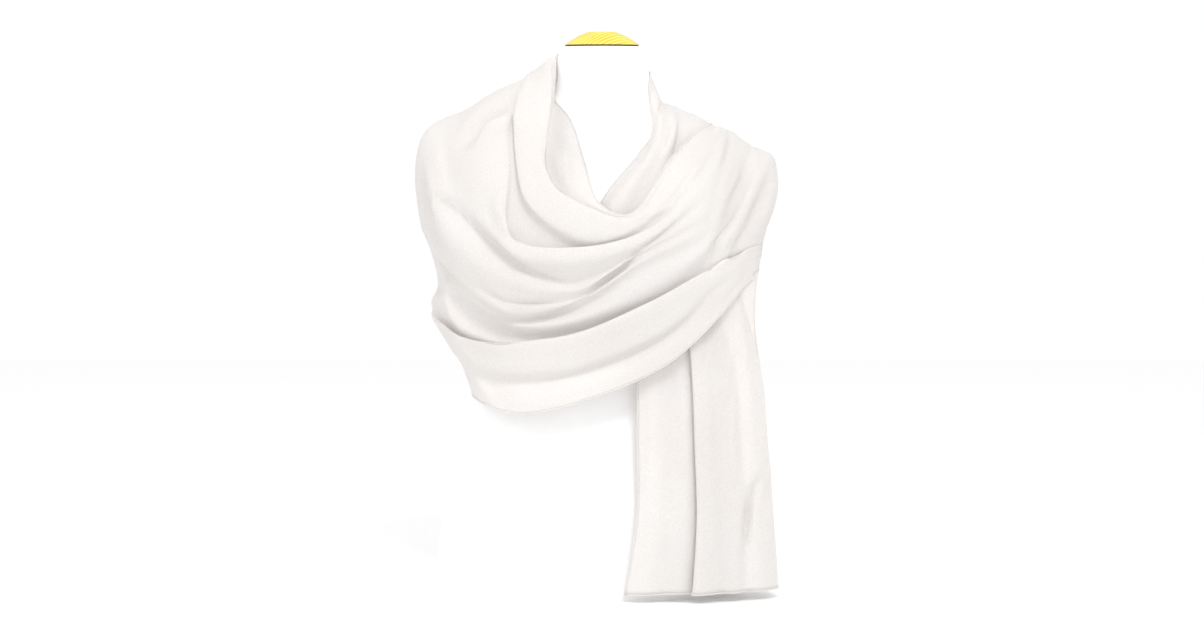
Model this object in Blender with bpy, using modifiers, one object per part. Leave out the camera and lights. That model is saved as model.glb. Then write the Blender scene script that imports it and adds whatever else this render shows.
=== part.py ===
"""A chiffon scarf wound round a limbless dress form.

Metres, +Z up. The origin is the centre of the form's flat base, the front faces -Y and
the scarf hangs down from the shoulder at +X. From its front end the scarf goes up over
that shoulder, behind the neck, over the other shoulder, across the chest in folds, up
over the first shoulder again on top of itself, and hangs down the back.
"""

import bpy
import numpy as np
from mathutils import Vector
from mathutils.bvhtree import BVHTree

MM = 0.001

# Driving dimensions, in millimetres.
FORM_HEIGHT = 640.0
NECK_SLOPE = 0.18
NECK_FOOT, SHOULDER_FALL = 560.0, 60.0
CHEST_CENTRE = (0.0, 420.0)
BACK_DRAWN_IN = 0.04
CLOTH_WALL = 1.5
FORM_GAP = 3.5
LAYER_GAP = 4.0
SEAM_GAP = 0.8
REACH = 60.0
FACE_STEPS = 4
SQUARENESS = 2.3
BODY_SQUARENESS = 0.35
RING_POINTS = 64
SEAM_DIP = 0.35

# The form's level sections: height, half width, reach to the front and to the back.
FORM_SECTIONS = (
    (0, 200, 118, 125),
    (60, 193, 118, 128),
    (130, 176, 112, 118),
    (200, 157, 106, 102),
    (250, 148, 104, 94),
    (310, 154, 115, 96),
    (375, 168, 132, 104),
    (440, 178, 120, 108),
    (480, 186, 100, 104),
    (505, 180, 84, 94),
    (522, 160, 74, 84),
    (538, 130, 66, 76),
    (555, 92, 60, 69),
    (575, 68, 56, 62),
    (596, 59, 55, 57),
    (616, 55.5, 53, 54),
)
# The neck's rounded top edge: height and radius. Above NECK_FOOT the sections tilt little
# by little, until the neck's top slopes down to the front by NECK_SLOPE.
NECK_EDGE = ((626, 53.5), (632, 51.5), (636, 49), (639, 46.5), (FORM_HEIGHT, 44.5))

# The wooden cap on the neck: height above the neck's top and radius, from the top down.
CAP_PROFILE = (
    (17, 0), (17, 16), (16, 19), (13, 27), (9, 34), (5.5, 39.5), (2.5, 43.5), (1.5, 44.5),
    (0.3, 43.5),
)

# The cloth's envelope: height, reach to -X, reach to +X, to the front and to the back.
ENVELOPE = (
    (0, 215, 250, 128, 136),
    (120, 205, 250, 124, 132),
    (224, 175, 250, 120, 112),
    (270, 178, 236, 120, 106),
    (302, 196, 225, 124, 106),
    (322, 203, 218, 127, 107),
    (354, 200, 208, 136, 110),
    (382, 202, 202, 138, 113),
    (420, 215, 202, 134, 116),
    (476, 221, 211, 112, 113),
    (502, 220, 209, 96, 104),
    (520, 218, 190, 86, 95),
    (546, 196, 140, 74, 83),
    (574, 152, 88, 64, 72),
    (600, 98, 66, 60, 64),
    (618, 72, 60, 58, 61),
    (634, 58, 57, 57, 59),
)

# The wrap across the chest. A row is a line that runs along the cloth from the far
# shoulder (first point) across the chest to the near one (last point). A point is
# (x, z) from the front; the lifts are how far the line stands off the envelope at
# its start, in the middle and at its end.
WRAP_LINES = (
    # name, start, upper, chest, lower, lowest, rising, high, end, lifts
    ("neck_edge", (-58, 634), (-57, 581), (-35, 539), (-20, 492), (-2, 439),
     (30, 428), (80, 496), (130, 546), (-28, 1, 2)),
    ("inner_ridge", (-59, 632), (-58, 578), (-55, 521), (-42, 479), (-5, 436),
     (31, 427), (81, 494), (132, 546), (-12, 7, 3)),
    ("inner_valley", (-60, 630), (-60, 573), (-67, 508), (-57, 457), (-11, 429),
     (32, 426), (82, 492), (134, 546), (2, 4, 4)),
    ("collar_lip", (-61, 628), (-57, 567), (-62, 501), (-51, 462), (-8, 433),
     (34, 424), (84, 490), (137, 546), (12, 15, 5)),
    ("collar_face", (-76, 615), (-79, 558), (-80, 497), (-66, 446), (-10, 416),
     (38, 420), (89, 484), (140, 545), (14, 15, 6)),
    ("collar_foot", (-87, 607), (-99, 556), (-97, 494), (-81, 440), (-16, 400),
     (42, 417), (94, 478), (143, 544), (13, 12, 7)),
    ("collar_pocket", (-92, 603), (-95, 551), (-92, 488), (-76, 433), (-21, 390),
     (46, 412), (98, 472), (146, 543), (7, 2, 6)),
    ("pocket_floor", (-101, 599), (-105, 546), (-101, 481), (-101, 399), (-28, 383),
     (48, 409), (101, 467), (149, 541), (7, 2, 6)),
    ("cowl_lip", (-109, 595), (-109, 548), (-104, 482), (-99, 404), (-29, 391),
     (50, 411), (104, 463), (153, 539), (11, 14, 8)),
    ("cowl_face", (-130, 584), (-140, 541), (-136, 461), (-108, 391), (-31, 377),
     (50, 400), (108, 454), (159, 535), (14, 18, 10)),
    ("cowl_crease", (-160, 568), (-176, 511), (-162, 440), (-100, 380), (-30, 354),
     (46, 393), (111, 444), (165, 530), (5, 5, 8)),
    ("chest_ridge", (-207, 544), (-199, 494), (-175, 418), (-113, 361), (-33, 345),
     (44, 388), (113, 434), (172, 526), (12, 11, 8)),
    ("chest_crease", (-220, 514), (-209, 436), (-177, 376), (-116, 339), (-38, 333),
     (42, 383), (115, 425), (179, 522), (9, 5, 7)),
    ("lower_ridge", (-221, 470), (-202, 408), (-169, 364), (-114, 328), (-38, 329),
     (42, 377), (117, 416), (186, 518), (8, 10, 7)),
    ("lower_crease", (-217, 424), (-193, 385), (-160, 351), (-111, 316), (-36, 322),
     (43, 367), (121, 407), (193, 515), (3, 3, 6)),
    ("belly_ridge", (-201, 386), (-185, 363), (-157, 335), (-103, 308), (-35, 312),
     (44, 345), (126, 401), (200, 511), (5, 12, 8)),
    ("belly_valley", (-197, 352), (-181, 346), (-155, 316), (-103, 294), (-36, 298),
     (52, 329), (135, 398), (207, 500), (3, 2, 6)),
    ("tucked_ridge", (-203, 335), (-184, 333), (-157, 300), (-105, 285), (-33, 290),
     (55, 320), (147, 396), (208, 458), (8, 5, 7)),
    ("tucked_valley", (-205, 328), (-183, 308), (-156, 288), (-106, 279), (-31, 283),
     (56, 316), (143, 377), (190, 402), (3, 2, 3)),
    ("band_lip", (-202, 320), (-185, 310), (-158, 294), (-107, 289), (-30, 297),
     (50, 331), (139, 381), (192, 409), (15, 19, 9)),
    ("band_face", (-192, 302), (-171, 289), (-144, 275), (-100, 271), (-27, 281),
     (55, 314), (141, 369), (190, 404), (17, 19, 8)),
    ("band_ridge", (-180, 283), (-158, 268), (-132, 257), (-94, 256), (-24, 267),
     (59, 299), (143, 360), (189, 401), (15, 16, 7)),
    ("band_valley", (-168, 267), (-150, 254), (-124, 243), (-87, 243), (-21, 254),
     (63, 289), (145, 352), (188, 398), (8, 9, 6)),
    ("hem_ridge", (-160, 246), (-140, 236), (-115, 226), (-83, 226), (-19, 239),
     (67, 276), (147, 345), (188, 396), (13, 13, 5)),
    ("hem", (-154, 225), (-131, 217), (-107, 210), (-80, 209), (-17, 225),
     (72, 264), (149, 338), (187, 394), (10, 10, 4)),
)

# How much further off the wrap stands at each station, over the front end's pleats.
OVER_FIRST_LAYER = (0, 0, 0, 2, 6, 12, 13, 0)

# How the same lines lie in the two hanging ends. Side is where a line is across the
# end, from 0 at the edge nearer the neck to 1 at the outer one, and lift is how far it
# stands off the form; the lines double back where the cloth is pleated.
# name, shoulder lift, front side, front lift, back side, back lift
PLEATS = (
    ("neck_edge", -12, 0.00, 3, 0.00, 4),
    ("inner_ridge", 8, 0.12, 7, 0.10, 8),
    ("inner_valley", 7, 0.24, 4, 0.22, 5),
    ("collar_lip", 2, 0.36, 7, 0.34, 9),
    ("collar_face", 8, 0.48, 4, 0.46, 6),
    ("collar_foot", 9, 0.61, 6, 0.57, 8),
    ("collar_pocket", 4, 0.73, 5, 0.64, 8),
    ("pocket_floor", 5, 0.79, 6, 0.66, 10),
    ("cowl_lip", 6, 0.77, 9, 0.60, 12),
    ("cowl_face", 7, 0.64, 11, 0.48, 14),
    ("cowl_crease", 4, 0.42, 13, 0.37, 17),
    ("chest_ridge", 6, 0.45, 17, 0.35, 21),
    ("chest_crease", 4, 0.53, 16, 0.44, 20),
    ("lower_ridge", 6, 0.61, 13, 0.53, 16),
    ("lower_crease", 4, 0.70, 17, 0.62, 21),
    ("belly_ridge", 6, 0.78, 14, 0.71, 17),
    ("belly_valley", 4, 0.87, 18, 0.80, 21),
    ("tucked_ridge", 6, 0.95, 16, 0.90, 18),
    ("tucked_valley", 4, 1.00, 12, 0.98, 15),
    ("band_lip", 6, 0.995, 8, 1.00, 11),
    ("band_face", 4, 0.93, 5.5, 0.93, 7),
    ("band_ridge", 6, 0.87, 4.5, 0.84, 6),
    ("band_valley", 4, 0.88, 2, 0.83, 3),
    ("hem_ridge", 5, 0.94, 2, 0.90, 2),
    ("hem", 4, 0.985, 2.5, 0.96, 2.5),
)

# The first layer over the near shoulder, in the plane of the shoulders: (x, z).
NEAR_SHOULDER = (
    (57, 610), (64, 589), (73, 576), (85, 569), (101, 563), (118, 554), (134, 543),
    (150, 531), (165, 520), (178, 509), (188, 495), (194, 478), (195, 458), (193, 438),
    (190, 418),
)

# The front end's levels: height and x at its neck edge, height and x at its outer edge.
FRONT_END_LEVELS = (
    (530, 56, 398, 183),
    (426, -6, 350, 175),
    (360, 25, 305, 174),
    (255, 38, 245, 182),
    (185, 39, 180, 187),
    (100, 39, 95, 193),
    (9, 25, 11, 199),
)
FRONT_PLEATING = (0.0, 0.35, 0.8, 1.0, 1.0, 1.0, 1.0)
FRONT_DEPTH = (0.6, 0.6, 0.55, 0.8, 1.0, 1.0, 1.0)

# The back end's levels, the same way.
BACK_END_LEVELS = (
    (500, 118, 372, 178),
    (430, 96, 330, 176),
    (330, 80, 290, 174),
    (240, 72, 225, 174),
    (165, 70, 155, 178),
    (92, 66, 88, 182),
)
BACK_PLEATING = (0.1, 0.5, 0.9, 1.0, 1.0, 1.0)
BACK_OVER_FIRST_LAYER = (10, 12, 8, 0, 0, 0)

# Behind the neck and across the shoulder blades: where along the way each column is,
# and how far it sags below a straight line there at the neck edge and the outer edge.
BACK_COLUMNS = (
    (0.14, 0, 22),
    (0.32, -4, 62),
    (0.52, -6, 78),
    (0.72, -5, 60),
    (0.88, -2, 26),
)
BACK_LIFTS = (
    -8, 6, 5, 12, 15, 10, 3, 4, 11, 15, 4, 15, 5, 14, 3, 15, 3, 12, 4, 16, 17, 12, 4, 12, 8
)

ROWS = len(WRAP_LINES)
COLLECTION = "chiffon_scarf_on_dress_form"


def spline(points, count):
    """Points on a smooth curve through these, count to each interval."""
    points = np.asarray(points, float)
    steps = np.sqrt(np.linalg.norm(np.diff(points, axis=0), axis=-1, keepdims=True))
    steps = np.maximum(steps, 1e-3)
    slopes = np.diff(points, axis=0) / steps
    inner = (slopes[:-1] * steps[1:] + slopes[1:] * steps[:-1]) / (steps[:-1] + steps[1:])
    slopes = np.concatenate([slopes[:1], inner, slopes[-1:]])
    found = []
    for i in range(len(points) - 1):
        for k in range(count):
            t = k / count
            found.append(
                points[i] * (1 - t) ** 2 * (1 + 2 * t)
                + points[i + 1] * t**2 * (3 - 2 * t)
                + slopes[i] * steps[i] * t * (1 - t) ** 2
                - slopes[i + 1] * steps[i] * t**2 * (1 - t)
            )
    found.append(points[-1])
    return np.array(found)


def across(table, column, z):
    """A column of a table of sections at height z."""
    rows = np.array(table, float)
    return np.interp(z, rows[:, 0], rows[:, column])


def reach_from(x, z, column):
    """How far the envelope reaches from the plane of the shoulders at x and z."""
    width = across(ENVELOPE, 1, z) if x < 0 else across(ENVELOPE, 2, z)
    share = min(abs(x) / width, 0.999)
    return across(ENVELOPE, column, z) * (1 - share**SQUARENESS) ** (1 / SQUARENESS)


def front_reach(x, z):
    return reach_from(x, z, 3)


def back_reach(x, z):
    return reach_from(x, z, 4)


def edge_normals(points):
    """Outward normals of an open line in the plane of the shoulders."""
    along = np.gradient(points, axis=0)
    normals = np.stack([-along[:, 1], along[:, 0]], axis=1)
    normals /= np.linalg.norm(normals, axis=1, keepdims=True)
    outward = points - np.array(CHEST_CENTRE)
    return normals * np.sign((normals * outward).sum(axis=1, keepdims=True))


def seam(points, lifts, full):
    """A fold line for each row over a shoulder, let in by how far its lift is short of full."""
    points = np.asarray(points, float)
    dips = SEAM_DIP * np.minimum(np.asarray(lifts, float) - full, 0.0)
    moved = points + dips[:, None] * edge_normals(points)
    return np.stack([moved[:, 0], np.zeros(len(moved)), moved[:, 1]], axis=1)


def wrap_cage():
    """Fold line x station x 3, from the far shoulder to the near one."""
    cage = np.zeros((ROWS, 8, 3))
    for row, line in enumerate(WRAP_LINES):
        start, middle, end = line[9]
        lifts = np.interp(range(8), (0, 2, 4, 6, 7), (start, start, middle, end, end))
        for column in range(1, 7):
            x, z = line[1 + column]
            stand = lifts[column] + OVER_FIRST_LAYER[column]
            cage[row, column] = x, -front_reach(x, z) - stand, z
    cage[:, 0] = seam([line[1] for line in WRAP_LINES], [line[9][0] for line in WRAP_LINES], 12)
    cage[:, 7] = seam([line[8] for line in WRAP_LINES], [line[9][2] for line in WRAP_LINES], 8)
    return cage


def near_shoulder_line():
    """The first layer's fold lines where they cross the near shoulder."""
    path = spline(NEAR_SHOULDER, 8)
    run = np.concatenate([[0], np.cumsum(np.linalg.norm(np.diff(path, axis=0), axis=1))])
    wanted = np.linspace(0, run[-1], ROWS)
    points = np.stack([np.interp(wanted, run, path[:, k]) for k in range(2)], axis=1)
    return seam(points, [row[1] for row in PLEATS], 8)


def hanging_cage(levels, pleating, depths, raised, side, lift, reach, sign, top):
    """A hanging end, from its seam line down to its hem."""
    cage = np.zeros((ROWS, len(levels) + 1, 3))
    cage[:, 0] = top
    for column, (level, share, depth, over) in enumerate(zip(levels, pleating, depths, raised)):
        z_neck, x_neck, z_outer, x_outer = level
        for row, pleat in enumerate(PLEATS):
            even = row / (ROWS - 1)
            place = even + share * (pleat[side] - even)
            stand = over + depth * (pleat[1] + share * (pleat[lift] - pleat[1]))
            x = x_neck + place * (x_outer - x_neck)
            z = z_neck + place * (z_outer - z_neck)
            cage[row, column + 1] = x, sign * (reach(x, z) + stand), z
    return cage


def back_cage(start, end):
    """Behind the neck, from the near shoulder's seam line to the far one's."""
    cage = np.zeros((ROWS, len(BACK_COLUMNS) + 2, 3))
    cage[:, 0] = start
    cage[:, -1] = end
    for column, (way, sag_neck, sag_outer) in enumerate(BACK_COLUMNS):
        for row in range(ROWS):
            even = row / (ROWS - 1)
            x = start[row, 0] * (1 - way) + end[row, 0] * way
            z = start[row, 2] * (1 - way) + end[row, 2] * way
            z -= sag_neck + even * (sag_outer - sag_neck)
            turn = np.sin(np.pi * way)
            x *= 1 - BACK_DRAWN_IN * turn
            cage[row, column + 1] = x, back_reach(x, z) + BACK_LIFTS[row], z
    return cage


def sheet_points(cage, before, after, along, over):
    """The cage's smooth surface: lines x columns x 3. before and after are the columns
    past its ends, so that neighbours meet without a kink; None leaves that end free."""
    columns = [before] + [cage[:, k] for k in range(cage.shape[1])] + [after]
    run = spline(np.stack([column for column in columns if column is not None]), along)
    first = 0 if before is None else along
    last = len(run) - (0 if after is None else along)
    return spline(np.moveaxis(run[first:last], 0, 1), over)


def quads(rows, columns):
    faces = []
    for i in range(rows - 1):
        for j in range(columns - 1):
            a = i * columns + j
            faces.append((a, a + 1, a + columns + 1, a + columns))
    return faces


def tree_of(grid):
    rows, columns = grid.shape[:2]
    vertices = [Vector(p) for p in grid.reshape(-1, 3)]
    return BVHTree.FromPolygons(vertices, quads(rows, columns))


def blurred(values):
    padded = np.pad(values, 1, mode="edge")
    return (
        2 * padded[1:-1, 1:-1]
        + padded[:-2, 1:-1]
        + padded[2:, 1:-1]
        + padded[1:-1, :-2]
        + padded[1:-1, 2:]
    ) / 6


def subdivided(grid, count):
    """The flat-faced grid with count steps to each of its own, along its first axis."""
    parts = [grid[:-1] + (grid[1:] - grid[:-1]) * (k / count) for k in range(count)]
    inner = np.stack(parts, axis=1).reshape(-1, *grid.shape[1:])
    return np.concatenate([inner, grid[-1:]])


def way_out(point, form):
    near, normal, _, distance = form.find_nearest(point)
    outside = (point - near).dot(normal) > 0
    return (point - near).normalized() if outside and distance > 2 else normal


def laid_over(grid, under, gap, form):
    """The grid moved out until its faces are gap clear of what is under."""
    fine = subdivided(subdivided(grid, FACE_STEPS).swapaxes(0, 1), FACE_STEPS).swapaxes(0, 1)
    short = np.zeros(fine.shape[:2])
    for index in np.ndindex(*fine.shape[:2]):
        point = Vector(fine[index])
        way = way_out(point, form)
        hit, _, _, reach = under.ray_cast(point + way * REACH, -way, 2 * REACH)
        beside = under.find_nearest(point)[3]
        if hit is not None:
            short[index] = max(0.0, REACH - reach + gap)
        short[index] = max(short[index], gap - beside)
    push = np.zeros(grid.shape[:2])
    for i, j in np.ndindex(*push.shape):
        rows = slice(max(0, FACE_STEPS * (i - 1) + 1), FACE_STEPS * (i + 1))
        columns = slice(max(0, FACE_STEPS * (j - 1) + 1), FACE_STEPS * (j + 1))
        push[i, j] = short[rows, columns].max()
    smooth = push
    for _ in range(3):
        smooth = np.maximum(push, blurred(smooth))
    ways = np.array([way_out(Vector(p), form) for p in grid.reshape(-1, 3)])
    return grid + ways.reshape(grid.shape) * smooth[..., None]


def form_grid():
    """The form's surface: rings of points, from the base to the neck's top."""
    rings = spline(FORM_SECTIONS, 3)
    turns = np.linspace(0, 2 * np.pi, RING_POINTS, endpoint=False)
    cosine, sine = np.cos(turns), np.sin(turns)
    found = []
    for z, width, front, back in rings:
        power = 2 / (2 + BODY_SQUARENESS * np.clip((NECK_FOOT - z) / SHOULDER_FALL, 0, 1))
        x = width * np.sign(cosine) * np.abs(cosine) ** power
        depth = np.where(sine < 0, front, back)
        y = depth * np.sign(sine) * np.abs(sine) ** power
        found.append(np.stack([x, y, np.full(RING_POINTS, z)], axis=1))
    for z, radius in NECK_EDGE:
        level = np.full(RING_POINTS, float(z))
        found.append(np.stack([radius * cosine, radius * sine, level], axis=1))
    found = np.array(found)
    tilt = NECK_SLOPE * np.clip((found[..., 2] - NECK_FOOT) / (FORM_HEIGHT - NECK_FOOT), 0, 1)
    found[..., 2] += tilt * found[..., 1]
    return found


def material(name, colour, roughness):
    made = bpy.data.materials.new(name)
    made.use_nodes = True
    shader = made.node_tree.nodes["Principled BSDF"]
    shader.inputs["Base Color"].default_value = (*colour, 1)
    shader.inputs["Roughness"].default_value = roughness
    shader.inputs["Metallic"].default_value = 0.0
    return made


def add_object(name, vertices, faces, colour, roughness):
    mesh = bpy.data.meshes.new(name)
    mesh.from_pydata([Vector(v) * MM for v in vertices], [], faces)
    mesh.materials.append(material(name, colour, roughness))
    mesh.shade_smooth()
    made = bpy.data.objects.new(name, mesh)
    bpy.data.collections[COLLECTION].objects.link(made)
    return made


def add_cloth(name, grid, colour):
    """A wall through the grid, half its thickness to each side."""
    rows, columns = grid.shape[:2]
    made = add_object(name, grid.reshape(-1, 3), quads(rows, columns), colour, 0.8)
    wall = made.modifiers.new("wall", "SOLIDIFY")
    wall.thickness = CLOTH_WALL * MM
    wall.offset = 0
    return made


def add_form(grid):
    rings, count = grid.shape[:2]
    faces = []
    for i in range(rings - 1):
        for j in range(count):
            k = (j + 1) % count
            faces.append((i * count + j, i * count + k, (i + 1) * count + k, (i + 1) * count + j))
    faces.append(tuple(reversed(range(count))))
    faces.append(tuple((rings - 1) * count + j for j in range(count)))
    return add_object("dress_form", grid.reshape(-1, 3), faces, (0.93, 0.93, 0.93), 0.5)


def add_cap():
    profile = [(radius, 0, height) for height, radius in CAP_PROFILE]
    profile.append((0, 0, profile[-1][2]))
    made = add_object("neck_cap", profile, [], (0.86, 0.68, 0.18), 0.45)
    made.data.edges.add(len(profile) - 1)
    for index, edge in enumerate(made.data.edges):
        edge.vertices = (index, index + 1)
    made.location.z = FORM_HEIGHT * MM
    made.rotation_euler.x = np.arctan(NECK_SLOPE)
    turn = made.modifiers.new("turn", "SCREW")
    turn.steps = turn.render_steps = 48
    turn.use_merge_vertices = True
    turn.merge_threshold = 0.0001
    return made


def trimmed(grid, first, last):
    """The grid with its end columns drawn back from the seams, by half the seam's gap."""
    grid = grid.copy()
    for wanted, end, inner in ((first, 0, 1), (last, -1, -2)):
        if wanted:
            way = grid[:, inner] - grid[:, end]
            grid[:, end] += way / np.linalg.norm(way, axis=1, keepdims=True) * SEAM_GAP
    return grid


def build():
    for old in list(bpy.data.objects):
        bpy.data.objects.remove(old)
    collection = bpy.data.collections.new(COLLECTION)
    bpy.context.scene.collection.children.link(collection)

    form = form_grid()
    ring = np.concatenate([form, form[:, :1]], axis=1)
    form_tree = tree_of(ring)
    wrap = wrap_cage()
    near = near_shoulder_line()
    front_end = hanging_cage(
        FRONT_END_LEVELS, FRONT_PLEATING, FRONT_DEPTH, [0] * 7, 2, 3, front_reach, -1, near
    )
    back_end = hanging_cage(
        BACK_END_LEVELS, BACK_PLEATING, [1.0] * 6, BACK_OVER_FIRST_LAYER, 4, 5,
        back_reach, 1, wrap[:, -1],
    )
    behind = back_cage(near, wrap[:, 0])

    first = sheet_points(front_end, behind[:, 1], None, 3, 1)
    second = sheet_points(behind, front_end[:, 1], wrap[:, 1], 4, 1)
    third = sheet_points(wrap, behind[:, -2], back_end[:, 1], 3, 2)
    fourth = sheet_points(back_end, wrap[:, -2], None, 3, 1)

    first = laid_over(first, form_tree, FORM_GAP, form_tree)
    second = laid_over(second, form_tree, FORM_GAP, form_tree)
    third = laid_over(third, form_tree, FORM_GAP, form_tree)
    for under in (first, second, first, first, first):
        third = laid_over(third, tree_of(under), LAYER_GAP, form_tree)
    fourth = laid_over(fourth, form_tree, FORM_GAP, form_tree)
    fourth = laid_over(fourth, tree_of(second), LAYER_GAP, form_tree)

    add_form(form)
    add_cap()
    ivory = (0.87, 0.84, 0.79)
    add_cloth("scarf_front_end", trimmed(first, True, False), ivory)
    add_cloth("scarf_behind_neck", trimmed(second, True, True), ivory)
    add_cloth("scarf_chest_wrap", trimmed(third, True, True), ivory)
    add_cloth("scarf_back_end", trimmed(fourth, True, False), ivory)


build()
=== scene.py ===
"""A chiffon scarf wound round a limbless dress form, as a finished scene.

Metres, +Z up, with the front facing -Y. The scarf is one sheet: the fold lines of its
four stretches, repeated from the part, are joined into one net, drawn fine, creased,
and laid over the form and over itself. The tables are in millimetres.
"""

import bpy
import numpy as np
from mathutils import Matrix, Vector, noise
from mathutils.bvhtree import BVHTree


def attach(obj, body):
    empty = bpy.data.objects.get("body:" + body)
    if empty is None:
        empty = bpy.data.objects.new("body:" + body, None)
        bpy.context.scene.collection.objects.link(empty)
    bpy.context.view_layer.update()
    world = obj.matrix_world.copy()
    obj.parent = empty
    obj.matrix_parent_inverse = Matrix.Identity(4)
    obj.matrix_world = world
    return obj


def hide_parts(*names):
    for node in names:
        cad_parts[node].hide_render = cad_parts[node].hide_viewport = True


MM = 0.001

# The scarf as it was cut, the thickness of its wall and its rolled hem, in millimetres.
SCARF_WIDTH, SCARF_LENGTH = 430.0, 2000.0
CLOTH_THICKNESS = 0.5
HEM_RADIUS = 0.9

# The hem's tube: how many sides it has, and how far back along the edge it looks, and in
# which direction besides, to settle how it is turned.
HEM_SIDES = 6
HEM_LOOKS_BACK, HEM_LOOKS_TO = 3, (0.31, 0.87, 0.39)

# The gaps that the cloth keeps to the form and to its own first layer, in millimetres.
FORM_GAP, LAYER_GAP = 1.3, 1.4

# Moving the cloth out of what is under it: how far off it looks for that, how near the
# form a point counts as touching it, and how often a move is spread to its neighbours.
REACH = 60.0
TOUCHING = 2.0
SPREAD_PASSES = 8

# The wrap is laid over the first layer from so many stations past the far shoulder, and
# so many times over.
WRAP_START, WRAP_PASSES = 2, 2

# The exponent of the envelope's sections: 2 is an ellipse, and more is squarer.
SQUARENESS = 2.3

# Over a shoulder, a fold line whose lift is short of the full one is let in by this share
# of the difference, towards the middle of the chest (x, z).
SEAM_DIP = 0.35
FAR_SHOULDER_LIFT, NEAR_SHOULDER_LIFT = 12, 8
CHEST_CENTRE = (0.0, 420.0)

# How much the cloth is drawn in to the middle behind the shoulders.
BACK_DRAWN_IN = 0.04

# The slope of the neck's top, down to the front, and the painted shadow line round the cap's
# foot, where it sits on the neck: its height on the neck's axis, and over what height it ends.
NECK_SLOPE = 0.18
CAP_SHADOW_LINE, CAP_SHADOW_LINE_EDGE = 641.6, 0.6

# How finely the net is drawn: points to each step along the scarf and across it, and to
# each step of the near shoulder's outline.
ALONG, ACROSS = 15, 5
SHOULDER_STEPS = 8

# A crease: how many steps its path takes from point to point, where the ridge beside it
# lies and how wide that is, both in widths of the crease, and how it fades at its ends.
CREASE_STEPS = 6
RIDGE_OFFSET, RIDGE_WIDTH = 1.7, 1.3
FADE_START, FADE_POWER = 0.03, 0.7

# The cloth's slight, slow unevenness: waves to the metre along it and across it, where
# in the noise they are read, and how high they are.
UNEVENNESS = ((5, 16, 3.7, 2.2), (13, 52, 9.2, 0.9))

# Lines of the net that crowd together are smoothed: from CROWD_EDGE times CROWDED
# millimetres apart, and in full when they are one CROWDED nearer. The crowding is spread
# to its neighbours first, and the smoothing has this weight and this many passes.
CROWDED, CROWD_EDGE, CROWD_PASSES = 1.2, 1.2, 6
RELAX_WEIGHT, RELAX_PASSES = 0.8, 20

# The neck edge is drawn in to the form between these stations, where it is nearer to it
# than this; the pull fades over so many fine lines of the net.
HUG_STATIONS = (4.5, 15.5)
HUG_REACH, HUG_LINES = 22.0, 9

# The cloth's envelope: height, reach to -X, reach to +X, to the front and to the back.
LEFT, RIGHT, FRONT, BACK = 1, 2, 3, 4
ENVELOPE = (
    (0, 215, 250, 128, 136),
    (120, 205, 250, 124, 132),
    (224, 175, 250, 120, 112),
    (270, 178, 236, 120, 106),
    (302, 196, 225, 124, 106),
    (322, 203, 218, 127, 107),
    (354, 200, 208, 136, 110),
    (382, 202, 202, 138, 113),
    (420, 215, 202, 134, 116),
    (476, 221, 211, 112, 113),
    (502, 220, 209, 96, 104),
    (520, 218, 190, 86, 95),
    (546, 196, 140, 74, 83),
    (574, 152, 88, 64, 72),
    (600, 98, 66, 60, 64),
    (618, 72, 60, 58, 61),
    (634, 58, 57, 57, 59),
)

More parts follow.
